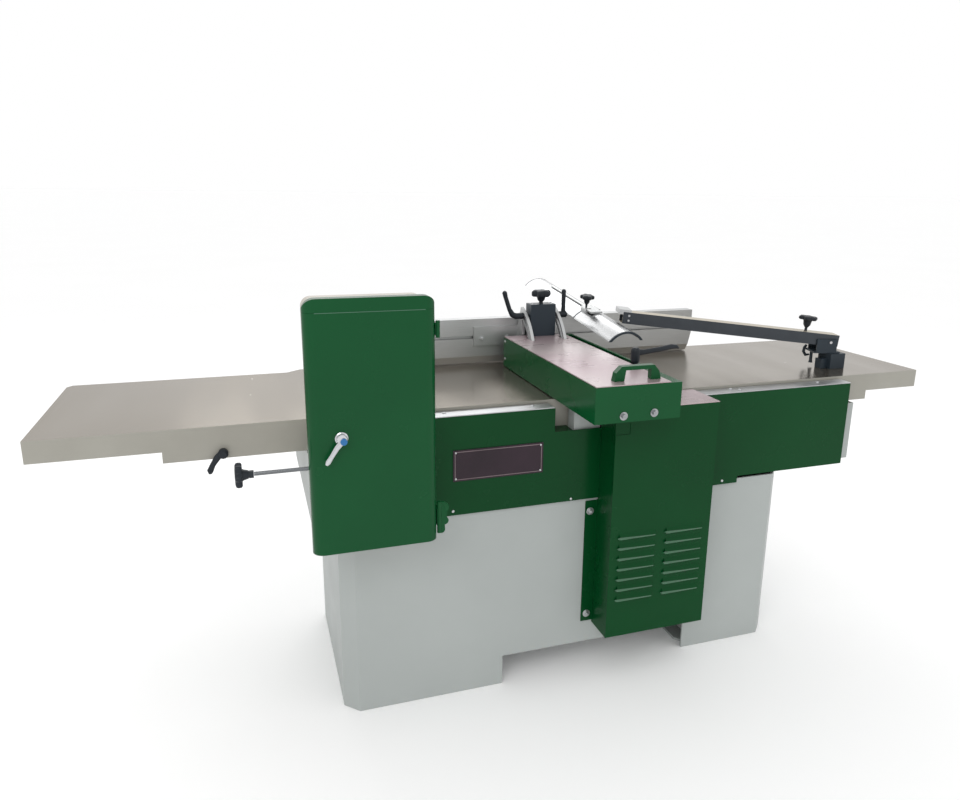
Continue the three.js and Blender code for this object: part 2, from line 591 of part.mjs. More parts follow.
// ---------------------------------------------------------------- bridge guard on its swinging arm
function archShell(half, rise, thickness, from, to) {
  const arc = (width, height) => {
    const radius = (width * width + height * height) / (2 * height);
    const reach = Math.asin(width / radius);
    return [...Array(13).keys()].map((i) => {
      const angle = reach * (1 - i / 6);
      return [radius * Math.sin(angle), radius * (Math.cos(angle) - Math.cos(reach))];
    });
  };
  return endView([...arc(half, rise), ...arc(half - thickness * 1.4, rise - thickness).reverse()], from, to);
}

function addGuard() {
  const { half, rise, length } = GUARD;
  const onGuard = (geometry) => posed(geometry, GUARD.x, GUARD.y, GUARD.z, GUARD.heading, GUARD.pitch);
  const overlap = { from: 120, to: 258 };
  place('guard_near', onGuard(archShell(half, rise, 3, 0, overlap.to)), polished);
  place('guard_far', onGuard(archShell(half - 4.6, rise - 4, 3, overlap.from, length)), polished);

  const onArm = (geometry) => posed(geometry, ARM.x, ARM.y, ARM.top, ARM.heading, ARM.pitch);
  const level = (geometry) => posed(geometry, ARM.x, ARM.y, 0, ARM.heading);
  const { width, height, length: reach } = ARM;
  const tube = cut(
    block(0, reach, -width, 0, -height, 0),
    block(-1, reach + 1, -width + 3, -3, -height + 3, -3),
  );
  const crossPin = (radius, from, to) => level(bar('y', from, to, radius, [ARM_PIN.along, ARM_PIN.z], 20));
  place('guard_arm', cut(onArm(tube), crossPin(ARM_PIN.radius + GAP, -width - 5, 5)), beige);
  place('guard_hinge_pin', crossPin(ARM_PIN.radius, -width - 9, 9), steel);

  place('guard_swivel', cut(
    join(
      level(block(-4, 82, -width - 6, 6, 890.4, 896)),
      level(block(8, 74, GAP * 2, 6, 890.4, 937)),
      level(block(8, 74, -width - 6, -width - GAP * 2, 890.4, 937)),
    ),
    crossPin(ARM_PIN.radius + GAP, -width - 10, 10),
  ), slate);
  place('guard_table_block', join(
    block(2324, 2382, SWIVEL.y - 29, SWIVEL.y + 29, TABLE_TOP + GAP, 890),
    block(2300, 2325, SWIVEL.y - 14, SWIVEL.y + 14, TABLE_TOP + GAP, 872),
  ), slate);

  place('arm_end_bracket', onArm(join(
    block(reach + GAP, reach + 14, -width - 14, 4, -8, 8),
    block(reach - 26, reach + 14, -width - 14, 4, GAP, 8),
  )), aluminium);
  const arm = onGuard(block(196, 262, -34, 32, rise + 2, rise + 9));
  place('guard_saddle', join(onGuard(archShell(half + 8, rise + 6.4, 5, 206, 240)), arm), aluminium);
  place('guard_knob', onGuard(starKnob(24, 12, 3.5, 30).translate(247, 18, rise + 9 + GAP)), blackPlastic);
  place('arm_knob', onArm(starKnob(31, 14, 5, 36).translate(104, -28, GAP)), blackPlastic);
}

addPedestal();
addBody();
addRearPanels();
addDriveCover();
addDrive();
addTables();
addTableControls();
addCabinet();
addBridge();
addFence();
addGuard();
machine.children.forEach((mesh) => mesh.position.add(new THREE.Vector3(-CENTRE.x, -CENTRE.y, 0)));

export default machine;
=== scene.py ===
"""Surface planer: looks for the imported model. Works in metres in the model's own frame."""
import math

import bmesh
import bpy
from mathutils import Matrix, Vector


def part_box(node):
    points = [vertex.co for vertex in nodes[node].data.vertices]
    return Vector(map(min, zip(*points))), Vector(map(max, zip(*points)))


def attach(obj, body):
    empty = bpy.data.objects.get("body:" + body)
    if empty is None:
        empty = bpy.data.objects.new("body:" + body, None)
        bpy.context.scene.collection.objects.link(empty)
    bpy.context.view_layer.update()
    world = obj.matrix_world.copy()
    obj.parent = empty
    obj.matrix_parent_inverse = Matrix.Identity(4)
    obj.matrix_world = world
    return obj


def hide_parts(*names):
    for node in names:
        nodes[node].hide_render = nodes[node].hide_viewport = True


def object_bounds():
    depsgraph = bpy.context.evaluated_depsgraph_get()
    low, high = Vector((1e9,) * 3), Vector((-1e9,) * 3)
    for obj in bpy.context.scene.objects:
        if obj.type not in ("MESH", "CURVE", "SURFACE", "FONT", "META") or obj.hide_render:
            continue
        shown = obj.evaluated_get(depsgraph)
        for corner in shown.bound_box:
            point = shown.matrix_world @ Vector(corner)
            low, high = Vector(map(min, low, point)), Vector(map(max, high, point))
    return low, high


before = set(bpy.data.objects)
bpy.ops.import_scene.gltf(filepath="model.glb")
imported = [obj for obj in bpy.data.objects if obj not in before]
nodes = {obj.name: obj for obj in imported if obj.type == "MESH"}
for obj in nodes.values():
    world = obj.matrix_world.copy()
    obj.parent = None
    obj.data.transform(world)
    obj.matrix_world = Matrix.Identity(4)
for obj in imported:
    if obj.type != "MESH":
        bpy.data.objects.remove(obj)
cad_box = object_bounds()

# ---------------------------------------------------------------- frame helpers
TABLE_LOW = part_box("infeed_table")[0]
ORIGIN = Vector((TABLE_LOW[0], TABLE_LOW[1], 0.0))


def at(x, y, z):
    """Millimetres from the infeed table's rear corner, z from the floor, to metres in the frame."""
    return ORIGIN + Vector((x, y, z)) / 1000


def turned(origin, direction, up=(0, 0, 1)):
    """A matrix at origin whose Z axis is direction."""
    z = Vector(direction).normalized()
    x = Vector(up).cross(z)
    if x.length < 1e-4:
        x = Vector((1, 0, 0))
    x.normalize()
    y = z.cross(x)
    matrix = Matrix((x, y, z)).transposed().to_4x4()
    matrix.translation = origin
    return matrix


def member(origin, heading, pitch):
    """A matrix at origin whose X axis runs along a heading in plan and climbs by pitch."""
    turn = Matrix.Rotation(math.radians(heading), 4, "Z") @ Matrix.Rotation(-math.radians(pitch), 4, "Y")
    return Matrix.Translation(origin) @ turn


# ---------------------------------------------------------------- materials
class Nodes:
    """A small helper for writing shader trees."""

    def __init__(self, name):
        self.material = bpy.data.materials.new(name)
        self.material.use_nodes = True
        self.tree = self.material.node_tree
        self.tree.nodes.clear()
        self.out = self.tree.nodes.new("ShaderNodeOutputMaterial")
        self.coords = self.tree.nodes.new("ShaderNodeTexCoord")

    def add(self, kind, **inputs):
        node = self.tree.nodes.new(kind)
        for key, value in inputs.items():
            name = key.replace("_", " ")
            if isinstance(value, bpy.types.NodeSocket):
                self.tree.links.new(value, node.inputs[name])
            else:
                node.inputs[name].default_value = value
        return node

    def link(self, a, b):
        self.tree.links.new(a, b)

    def stretched(self, scale):
        mapping = self.add("ShaderNodeMapping", Scale=scale)
        self.link(self.coords.outputs["Object"], mapping.inputs["Vector"])
        return mapping.outputs["Vector"]

    def noise(self, scale, detail=3.0, rough=0.55, stretch=(1, 1, 1)):
        node = self.add("ShaderNodeTexNoise", Scale=scale, Detail=detail, Roughness=rough)
        self.link(self.stretched(stretch), node.inputs["Vector"])
        return node.outputs["Fac"]

    def ramp(self, factor, stops):
        node = self.tree.nodes.new("ShaderNodeValToRGB")
        ramp = node.color_ramp
        while len(ramp.elements) < len(stops):
            ramp.elements.new(0.5)
        for element, (position, color) in zip(ramp.elements, stops):
            element.position = position
            element.color = (*color, 1.0)
        self.link(factor, node.inputs["Fac"])
        return node.outputs["Color"]

    def span(self, factor, low, high, start=0.3, end=0.7):
        node = self.add("ShaderNodeMapRange")
        for name, value in (("From Min", start), ("From Max", end), ("To Min", low), ("To Max", high)):
            node.inputs[name].default_value = value
        self.link(factor, node.inputs["Value"])
        return node.outputs["Result"]

    def bump(self, height, strength, distance=0.001, onto=None):
        node = self.add("ShaderNodeBump", Strength=strength, Distance=distance, Height=height)
        if onto is not None:
            self.link(onto, node.inputs["Normal"])
        return node.outputs["Normal"]

    def mix(self, factor, a, b):
        node = self.tree.nodes.new("ShaderNodeMix")
        node.data_type = "RGBA"
        for value, socket in ((factor, node.inputs[0]), (a, node.inputs[6]), (b, node.inputs[7])):
            if isinstance(value, bpy.types.NodeSocket):
                self.link(value, socket)
            else:
                socket.default_value = value if socket is node.inputs[0] else (*value, 1.0)
        return node.outputs[2]

    def facing(self, axis, threshold=0.8):
        """1 where the piece's own normal points along axis."""
        dot = self.tree.nodes.new("ShaderNodeVectorMath")
        dot.operation = "DOT_PRODUCT"
        self.link(self.coords.outputs["Normal"], dot.inputs[0])
        dot.inputs[1].default_value = axis
        test = self.tree.nodes.new("ShaderNodeMath")
        test.operation = "GREATER_THAN"
        self.link(dot.outputs["Value"], test.inputs[0])
        test.inputs[1].default_value = threshold
        return test.outputs["Value"]

    def principled(self, **inputs):
        shader = self.add("ShaderNodeBsdfPrincipled", **inputs)
        self.link(shader.outputs["BSDF"], self.out.inputs["Surface"])
        return shader


def tinted(color, factor):
    return tuple(min(1.0, c * factor) for c in color)


def paint(name, color, rough=0.3, specular=0.3, wave=0.06, peel=0.02, worn=0.1):
    """Paint on sheet: cloudy colour, a slow wave in the sheet, fine peel and smudged gloss."""
    n = Nodes(name)
    base = n.ramp(n.noise(2.2, 4), [(0.3, tinted(color, 1 - worn)), (0.7, tinted(color, 1 + worn))])
    roughness = n.span(n.noise(7, 4, 0.6), rough - 0.04, rough + 0.06)
    sheet = n.bump(n.noise(5, 1, 0.4), wave, 0.004)
    normal = n.bump(n.noise(700, 2, 0.5), peel, 0.0004, sheet)
    n.principled(Base_Color=base, Roughness=roughness, Normal=normal, Specular_IOR_Level=specular)
    return n.material


def bridge_paint(name, color, plane):
    """Green enamel whose bolts, the only metal behind the plane y, are zinc."""
    n = Nodes(name)
    place = n.add("ShaderNodeSeparateXYZ", Vector=n.coords.outputs["Object"])
    bolt = n.tree.nodes.new("ShaderNodeMath")
    bolt.operation = "LESS_THAN"
    n.link(place.outputs["Y"], bolt.inputs[0])
    bolt.inputs[1].default_value = plane
    green = n.ramp(n.noise(2.2, 4), [(0.3, tinted(color, 0.9)), (0.7, tinted(color, 1.1))])
    zinc = n.ramp(n.noise(60, 3), [(0.3, (0.24, 0.25, 0.26)), (0.7, (0.4, 0.41, 0.42))])
    rough = n.span(n.noise(7, 4, 0.6), 0.2, 0.3)
    sheet = n.bump(n.noise(5, 1, 0.4), 0.06, 0.004)
    n.principled(Base_Color=n.mix(bolt.outputs["Value"], green, zinc), Metallic=bolt.outputs["Value"],
                 Roughness=rough, Normal=sheet, Specular_IOR_Level=0.17)
    return n.material


def metal(name, color, rough=0.3, metallic=1.0, streak=(1, 1, 1), fine=90, contrast=0.12, bump=0.06):
    n = Nodes(name)
    lines = n.noise(fine, 4, 0.6, streak)
    cloud = n.noise(3.0, 4)
    tint = n.ramp(cloud, [(0.3, tinted(color, 1 - contrast)), (0.7, color)])
    base = n.mix(n.span(lines, 0.0, 0.35), tint, tinted(color, 0.7))
    roughness = n.span(lines, rough - 0.06, rough + 0.1)
    normal = n.bump(lines, bump, 0.0005)
    n.principled(Base_Color=base, Metallic=metallic, Roughness=roughness, Normal=normal)
    return n.material


def plastic(name, color, rough=0.45):
    n = Nodes(name)
    grain = n.noise(900, 2, 0.6)
    base = n.ramp(n.noise(9, 3), [(0.3, tinted(color, 0.8)), (0.7, tinted(color, 1.25))])
    n.principled(Base_Color=base, Roughness=n.span(grain, rough - 0.06, rough + 0.08),
                 Normal=n.bump(grain, 0.08, 0.0003), Specular_IOR_Level=0.3)
    return n.material


def cast_table(name):
    """Ground top face with fine scratches and a few bright specks, and painted sides."""
    n = Nodes(name)
    top = n.facing((0, 0, 1), 0.9)
    lines = n.noise(420, 2, 0.5, (3.0, 0.04, 1.0))
    cross = n.noise(2.2, 2, 0.5, (3.0, 0.6, 1.0))
    cloud = n.noise(1.1, 3, 0.5)
    ground = n.ramp(cloud, [(0.25, (0.235, 0.207, 0.167)), (0.75, (0.285, 0.254, 0.21))])
    ground = n.mix(n.span(lines, 0.0, 0.1), ground, (0.2, 0.185, 0.16))
    specks = n.add("ShaderNodeTexVoronoi", Scale=9.0, Randomness=1.0)
    n.link(n.stretched((1, 1, 0.02)), specks.inputs["Vector"])
    spot = n.span(specks.outputs["Distance"], 1.0, 0.0, 0.018, 0.03)
    ground = n.mix(spot, ground, (0.8, 0.78, 0.74))
    side = n.ramp(n.noise(3, 4), [(0.3, (0.28, 0.27, 0.235)), (0.7, (0.34, 0.33, 0.29))])
    base = n.mix(top, side, ground)
    metallic = n.add("ShaderNodeMath")
    metallic.operation = "MULTIPLY"
    n.link(top, metallic.inputs[0])
    metallic.inputs[1].default_value = 0.85
    roughness = n.add("ShaderNodeMix")
    n.link(top, roughness.inputs[0])
    roughness.inputs[2].default_value = 0.5
    n.link(n.span(cross, 0.17, 0.27), roughness.inputs[3])
    normal = n.bump(lines, 0.012, 0.0003)
    n.principled(Base_Color=base, Metallic=metallic.outputs[0], Roughness=roughness.outputs[0],
                 Normal=normal)
    return n.material


def filmed(name):
    """Stainless sheet under a loose pink protective film."""
    n = Nodes(name)
    blot = n.noise(2.4, 1, 0.4)
    base = n.ramp(blot, [(0.3, (0.33, 0.22, 0.25)), (0.5, (0.42, 0.33, 0.345)),
                         (0.72, (0.5, 0.45, 0.44))])
    wrinkle = n.noise(9, 2, 0.4, (1, 2.5, 1))
    normal = n.bump(wrinkle, 0.01, 0.0015)
    n.principled(Base_Color=base, Metallic=0.4, Roughness=n.span(wrinkle, 0.26, 0.32), Normal=normal,
                 Coat_Weight=0.25, Coat_Roughness=0.12)
    return n.material


def arm_skin(name):
    """Anodised extrusion whose rear side carries a dark insert."""
    n = Nodes(name)
    lines = n.noise(60, 4, 0.6, (1, 12, 12))
    side = n.facing((-0.304, -0.953, 0.0), 0.75)
    bright = n.ramp(n.noise(4, 3), [(0.3, (0.42, 0.375, 0.29)), (0.7, (0.52, 0.47, 0.37))])
    bright = n.mix(n.span(lines, 0.0, 0.25), bright, (0.33, 0.295, 0.23))
    dark = n.ramp(n.noise(12, 4), [(0.3, (0.016, 0.022, 0.03)), (0.7, (0.028, 0.036, 0.046))])
    metallic = n.add("ShaderNodeMath")
    metallic.operation = "SUBTRACT"
    metallic.inputs[0].default_value = 0.65
    n.link(side, metallic.inputs[1])
    n.principled(Base_Color=n.mix(side, bright, dark), Metallic=metallic.outputs[0],
                 Roughness=n.span(lines, 0.3, 0.45), Normal=n.bump(lines, 0.05, 0.0005))
    return n.material


GREEN = paint("enamel_green", (0.0025, 0.064, 0.018), 0.24, 0.17)
BRIDGE_GREEN = bridge_paint("enamel_green_bridge", (0.0025, 0.064, 0.018), at(0, -262.4, 0).y)
# A darker copy of the same green enamel for the drive cover and rear panels: painted shade, not a
# different paint.
GREEN_SHADED = paint("enamel_green_painted_shade", (0.0008, 0.047, 0.011), 0.24, 0.13)
GREY = paint("powder_grey", (0.375, 0.4, 0.39), 0.42, 0.2, 0.04, 0.08, 0.05)
CREAM = paint("powder_cream", (0.46, 0.43, 0.38), 0.4, 0.2, 0.04, 0.08, 0.05)
# The louvre lips are pressed from the cover's sheet; their lighter green than the cover is a painted
# highlight.
LOUVRE_LIP_HIGHLIGHT = paint("enamel_green_lip_painted_highlight", (0.012, 0.09, 0.035), 0.14, 0.9, 0.02)
# Lighter green for the thin strip along the door's top edge: a painted highlight, not a paint colour.
PAINTED_EDGE_HIGHLIGHT = paint("painted_highlight_edge", (0.05, 0.13, 0.08), 0.3, 0.4, 0.02)
SLATE = paint("satin_slate", (0.02, 0.03, 0.04), 0.38, 0.3, 0.02, 0.1, 0.15)
BLUE = paint("motor_blue", (0.05, 0.1, 0.15), 0.45, 0.2, 0.02, 0.15)
TABLE = cast_table("ground_table")
STEEL = metal("ground_steel", (0.56, 0.56, 0.57), 0.28, 1.0, (1, 14, 1))
ZINC = metal("zinc_plate", (0.6, 0.61, 0.62), 0.34, 1.0, (1, 1, 1), 30, 0.2)
ROD = metal("turned_rod", (0.2, 0.21, 0.22), 0.25, 1.0, (20, 1, 1), 60, 0.2, 0.03)
CHROME = metal("chrome", (0.6, 0.61, 0.63), 0.12, 1.0, (1, 20, 20), 60, 0.05, 0.02)
FENCE = metal("anodised_grey", (0.55, 0.56, 0.56), 0.36, 0.85, (0.6, 26, 26), 40, 0.1, 0.08)
POLISHED = metal("polished_aluminium", (0.5, 0.505, 0.51), 0.24, 1.0, (1.5, 30, 8), 40, 0.06, 0.03)
CASTING = metal("dark_casting", (0.12, 0.13, 0.14), 0.5, 0.7, (1, 1, 1), 160, 0.2, 0.25)
FILM = filmed("pink_film")
ARM_SKIN = arm_skin("arm_extrusion")
BLACK = plastic("black_grip", (0.009, 0.013, 0.018))
RUBBER = plastic("belt_rubber", (0.012, 0.012, 0.012), 0.7)
PLATE = plastic("blank_plate", (0.02, 0.009, 0.016), 0.3)
PLATE_EDGE = plastic("plate_border", (0.16, 0.12, 0.13), 0.35)
BLUE_KEY = plastic("key_disc", (0.02, 0.12, 0.3), 0.3)

SKINS = {
    GREEN: ("cabinet_door", "cabinet_header", "cabinet_hinge_upper", "cabinet_hinge_lower",
            "bridge_handle"),
    BRIDGE_GREEN: ("bridge_housing",),
    GREEN_SHADED: ("drive_cover", "rear_panel_left", "rear_panel_right"),
    GREY: ("base_pedestal", "upper_body", "motor_shelf", "fence_support", "bearing_housing_near"),
    CREAM: ("cabinet_shell",),
    SLATE: ("fence_post", "guard_swivel", "guard_table_block", "bridge_clamp_lever"),
    BLUE: ("motor_stator",),
    TABLE: ("infeed_table", "outfeed_table"),
    STEEL: ("infeed_lip", "outfeed_lip", "cutterblock", "motor_rotor", "slide_bar", "guard_hinge_pin"),
    ZINC: ("chip_chute", "switch_plate", "door_lock_handle", "ledge_left", "ledge_right"),
    ROD: ("adjusting_rod",),
    FENCE: ("fence", "tilt_frame", "arm_end_bracket", "guard_saddle"),
    POLISHED: ("guard_near", "guard_far"),
    CASTING: ("bearing_housing_far", "cutter_pulley", "motor_pulley", "infeed_slideway",
              "outfeed_slideway", "lift_gearbox"),
    FILM: ("bridge_top_plate", "cover_top_plate"),
    ARM_SKIN: ("guard_arm",),
    BLACK: ("adjusting_knob", "table_lock_lever", "main_contactor", "terminal_strip", "tilt_lever_left",
            "tilt_lever_right", "post_knob", "guard_knob", "arm_knob"),
    RUBBER: ("drive_belt",),
    PLATE: ("nameplate",),
}
for material, names in SKINS.items():
    for name in names:
        nodes[name].data.materials.clear()
        nodes[name].data.materials.append(material)


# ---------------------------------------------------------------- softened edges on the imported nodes
def smooth_tree():
    """Smooth shading except across edges sharper than 30 degrees."""
    tree = bpy.data.node_groups.new("smooth_by_edge", "GeometryNodeTree")
    tree.interface.new_socket("Geometry", in_out="INPUT", socket_type="NodeSocketGeometry")
    tree.interface.new_socket("Geometry", in_out="OUTPUT", socket_type="NodeSocketGeometry")
    start = tree.nodes.new("NodeGroupInput")
    end = tree.nodes.new("NodeGroupOutput")
    faces = tree.nodes.new("GeometryNodeSetShadeSmooth")
    faces.domain = "FACE"
    edges = tree.nodes.new("GeometryNodeSetShadeSmooth")
    edges.domain = "EDGE"
    angle = tree.nodes.new("GeometryNodeInputMeshEdgeAngle")
    less = tree.nodes.new("FunctionNodeCompare")
    less.data_type = "FLOAT"
    less.operation = "LESS_THAN"
    less.inputs["B"].default_value = math.radians(30)
    tree.links.new(start.outputs[0], faces.inputs[0])
    tree.links.new(faces.outputs[0], edges.inputs[0])
    tree.links.new(angle.outputs["Unsigned Angle"], less.inputs["A"])
    tree.links.new(less.outputs["Result"], edges.inputs["Shade Smooth"])
    tree.links.new(edges.outputs[0], end.inputs[0])
    return tree


SMOOTH = smooth_tree()


def soften(obj, width=0.0):
    if width:
        bevel = obj.modifiers.new("edge", "BEVEL")
        bevel.width = width
        bevel.segments = 2
        bevel.limit_method = "ANGLE"
        bevel.angle_limit = math.radians(38)
        bevel.use_clamp_overlap = True
    shade = obj.modifiers.new("shade", "NODES")
    shade.node_group = SMOOTH


ROUNDED = {"base_pedestal": 0.0025, "infeed_table": 0.0015, "outfeed_table": 0.0015, "fence": 0.0006,
           "cabinet_door": 0.0012, "cabinet_shell": 0.001, "nameplate": 0.0005, "ledge_left": 0.0005,
           "ledge_right": 0.0005, "tilt_frame": 0.0006, "fence_post": 0.0015}
for name, node in nodes.items():
    soften(node, ROUNDED.get(name, 0.0008))


# ---------------------------------------------------------------- mesh makers
def make(name, verts, faces, material, body, matrix=None, smooth=True):
    mesh = bpy.data.meshes.new(name)
    mesh.from_pydata([tuple(v) for v in verts], [], faces)
    mesh.update()
    work = bmesh.new()
    work.from_mesh(mesh)
    bmesh.ops.remove_doubles(work, verts=work.verts, dist=1e-6)
    if matrix is not None:
        bmesh.ops.transform(work, matrix=matrix, verts=work.verts)
    bmesh.ops.recalc_face_normals(work, faces=work.faces)
    work.to_mesh(mesh)
    work.free()
    mesh.materials.append(material)
    obj = bpy.data.objects.new(name, mesh)
    bpy.context.scene.collection.objects.link(obj)
    if smooth:
        soften(obj)
    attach(obj, body)
    return obj


def merged(parts):
    """Joins (verts, faces) pairs into one."""
    verts, faces = [], []
    for v, f in parts:
        offset = len(verts)
        verts += [Vector(p) for p in v]
        faces += [tuple(i + offset for i in face) for face in f]
    return verts, faces


def lathe(profile, sides=32):
    """A turned solid about Z from (radius, height) points in mm that start and end on the axis."""
    rings = [(r, h) for r, h in profile if r > 1e-6]
    verts = [Vector((0, 0, profile[0][1] / 1000))]
    for r, h in rings:
        for i in range(sides):
            a = 2 * math.pi * i / sides
            verts.append(Vector((r * math.cos(a), r * math.sin(a), h)) / 1000)
    verts.append(Vector((0, 0, profile[-1][1] / 1000)))
    faces = []
    for i in range(sides):
        j = (i + 1) % sides
        faces.append((0, 1 + j, 1 + i))
        for k in range(len(rings) - 1):
            a, b = 1 + k * sides, 1 + (k + 1) * sides
            faces.append((a + i, a + j, b + j, b + i))
        last = 1 + (len(rings) - 1) * sides
        faces.append((last + i, last + j, len(verts) - 1))
    return verts, faces


def ribbon(sections):
    """Skins a row of equal rings of points and closes both ends."""
    count = len(sections[0])
    verts = [Vector(p) for ring in sections for p in ring]
    faces = []
    for k in range(len(sections) - 1):
        for i in range(count):
            j = (i + 1) % count
            faces.append((k * count + i, k * count + j, (k + 1) * count + j, (k + 1) * count + i))
    faces.append(tuple(range(count))[::-1])
    faces.append(tuple((len(sections) - 1) * count + i for i in range(count)))
    return verts, faces


def limb(points, sizes, sides=16):
    """A tapered oval bar along points (mm); sizes are (half width, half depth) at each point."""
    path = [Vector(p) for p in points]
    rings = []
    side = None
    for k, p in enumerate(path):
        ahead = path[min(k + 1, len(path) - 1)] - path[max(k - 1, 0)]
        ahead.normalize()
        if side is None:
            side = Vector((0, 1, 0)) if abs(ahead.y) < 0.9 else Vector((1, 0, 0))
        side = (side - ahead * side.dot(ahead)).normalized()
        up = ahead.cross(side)
        w, d = sizes[k]
        rings.append([(p + side * (w * math.cos(2 * math.pi * i / sides))
                       + up * (d * math.sin(2 * math.pi * i / sides))) / 1000 for i in range(sides)])
    return ribbon(rings)


def star(radius, head, stem_radius, stem, lobes=6):
    """A moulded lobed grip with a dished top on its stem, standing on z 0, in mm."""
    sides = lobes * 12
    levels = [(0.86, 0.0), (0.97, 0.12), (1.0, 0.3), (1.0, 0.62), (0.95, 0.84), (0.8, 0.97), (0.55, 1.0),
              (0.3, 0.93)]
    rings = []
    for scale, height in levels:
        ring = []
        for i in range(sides):
            a = 2 * math.pi * i / sides
            reach = 0.88 + 0.12 * math.cos(lobes * a)
            if scale < 0.8:
                reach = 0.9 + 0.04 * math.cos(lobes * a)
            r = radius * scale * reach
            ring.append(Vector((r * math.cos(a), r * math.sin(a), stem + head * height)) / 1000)
        rings.append(ring)
    grip = ribbon(rings)
    neck = lathe([(0, 0.2), (stem_radius, 0.2), (stem_radius, stem * 0.3),
                  (stem_radius * 1.35, stem * 0.34), (radius * 0.36, stem * 0.55),
                  (radius * 0.42, stem * 0.86), (radius * 0.5, stem + 0.6), (0, stem + 0.6)], 28)
    return merged([grip, neck])


def screw(radius, height, socket=True):
    """A pan head, with a hexagon-sized recess or plain dome, in mm."""
    if socket:
        profile = [(0, -0.2), (radius, -0.2), (radius, height * 0.6), (radius * 0.9, height * 0.9),
                   (radius * 0.55, height), (radius * 0.42, height * 0.92), (radius * 0.4, height * 0.35),
                   (0, height * 0.3)]
    else:
        profile = [(0, -0.2), (radius, -0.2), (radius * 0.97, height * 0.35), (radius * 0.7, height * 0.8),
                   (radius * 0.35, height), (0, height)]
    return lathe(profile, 20)


def fasteners(name, spots, direction, body, radius=5.0, height=3.0, washer=0.0):
    """One piece holding equal fasteners at mm positions, each on a washer if washer gives a radius."""
    parts = []
    for x, y, z in spots:
        matrix = turned(at(x, y, z), direction)
        lift = 0.0
        if washer:
            ring = lathe([(0, 0), (washer, 0), (washer, 1.4), (washer - 0.5, 1.9), (0, 1.9)], 28)
            parts.append(([matrix @ Vector(v) for v in ring[0]], ring[1]))
            lift = 1.9
        solid = screw(radius, height, bool(washer))
        shift = matrix @ Matrix.Translation((0, 0, lift / 1000))
        parts.append(([shift @ Vector(v) for v in solid[0]], solid[1]))
    verts, faces = merged(parts)
    return make(name, verts, faces, ZINC, body)


# ---------------------------------------------------------------- grips and levers
def grip_piece(name, node, body, solid, matrix, material=BLACK):
    obj = make(name, *solid, material, body, matrix)
    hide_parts(node)
    return obj


ARM = member(at(2359, 98, 949), 162.3, 5.8)
GUARD = member(at(1614.5, 178, 954), 92.15, 7.86)

grip_piece("star_adjust", "adjusting_knob", "adjuster",
           merged([star(29, 16, 5.5, 25), lathe([(0, 0.1), (9, 0.1), (9, 9.4), (8.2, 10), (0, 10)], 6)]),
           turned(at(496, -183, 776), (-1, 0, 0)))
grip_piece("star_post", "post_knob", "top_knob", star(33, 21, 6.5, 23),
           turned(at(1425, 419, 1044.4), (0, 0, 1)))
grip_piece("star_arm", "arm_knob", "arm_grip", star(31, 13, 4.5, 37),
           ARM @ Matrix.Translation((0.104, -0.028, 0.0004)))
grip_piece("star_guard", "guard_knob", "saddle_grip", star(24, 13, 3.4, 28),
           GUARD @ Matrix.Translation((0.247, 0.018, 0.0394)))

left = merged([
    limb([(-18.6, 0, 0), (-44, 0, 0), (-56, 0, 6), (-66, 0, 24), (-79, 0, 62), (-83, 0, 78),
          (-84.5, 0, 83)],
         [(10, 10), (10.5, 10.5), (9.5, 9.5), (7.2, 7.2), (7.2, 7.2), (8, 8), (4, 4)]),
    limb([(-30, 0, 0), (8, 0, 0)], [(4.9, 4.9), (4.9, 4.9)]),
])
grip_piece("lever_left_grip", "tilt_lever_left", "lever_left", left,
           Matrix.Translation(at(1382, 421, 1005)))
right = merged([
    limb([(18.8, 0, 0), (24, 0, 0), (46, 0, 0), (50, 0, 0)], [(8, 8), (10.5, 10.5), (10.5, 10.5), (7, 7)]),
    limb([(38, 0, 4), (38, 0, 26), (38, 0, 66), (38, 0, 78), (38, 0, 83)],
         [(8, 8), (6.4, 6.4), (7.4, 7.4), (7.6, 7.6), (4, 4)]),
    limb([(-8, 0, 0), (30, 0, 0)], [(4.9, 4.9), (4.9, 4.9)]),
])
grip_piece("lever_right_grip", "tilt_lever_right", "lever_right", right,
           Matrix.Translation(at(1468, 421, 1005)))
clamp = merged([
    lathe([(0, 0.2), (8, 0.2), (8, 10), (11, 12), (12.6, 16), (12.6, 44), (11, 50), (8, 53),
           (0, 53.5)], 28),
    limb([(4, 0, 38), (26, 0, 39), (70, 0, 44), (112, 0, 50), (128, 0, 49), (136, 0, 45)],
         [(8, 10), (7, 7.5), (7.4, 7), (9, 7.2), (9, 6), (4, 3)]),
])
grip_piece("clamp_lever", "bridge_clamp_lever", "bridge_clamp", clamp,
           Matrix.Translation(at(1523, -47, 930.4)))
lock = merged([
    limb([(0, -22, 0), (0, -16, 0), (0, -3, 0), (0, -1.5, 0)], [(8, 8), (12, 12), (12, 12), (9, 9)]),
    limb([(0, -3, 0), (0, 8, 0)], [(5.8, 5.8), (5.8, 5.8)]),
    limb([(0, -12, 4), (-14, -12, -8), (-26, -12, -26), (-33, -12, -41), (-33, -12, -48)],
         [(6, 9), (6, 8), (6, 6.5), (6.4, 7.5), (4, 4)]),
])
grip_piece("table_lock_grip", "table_lock_lever", "table_lock", lock,
           Matrix.Translation(at(428, 0, 772)))

door_lock = merged([
    lathe([(0, 0.4), (15, 0.4), (15, 3.5), (12.5, 5), (12.5, 14), (11, 16), (0, 16)], 32),
    limb([(4, 0, 13), (-12, -18, 15), (-24, -36, 16), (-33, -50, 16), (-37, -56, 15.5)],
         [(9, 5), (6.5, 4), (5.5, 3.4), (6.5, 3.4), (3.5, 2)]),
])
face = turned(at(690, -217, 853), (0, -1, 0))
grip_piece("door_latch", "door_lock_handle", "door_lock", door_lock, face, CHROME)
make("door_latch_disc", *lathe([(0, 16.2), (8, 16.2), (8, 19), (7, 19.8), (0, 19.8)], 32),
     BLUE_KEY, "door_lock", face @ Matrix.Translation((0.003, -0.004, 0)))


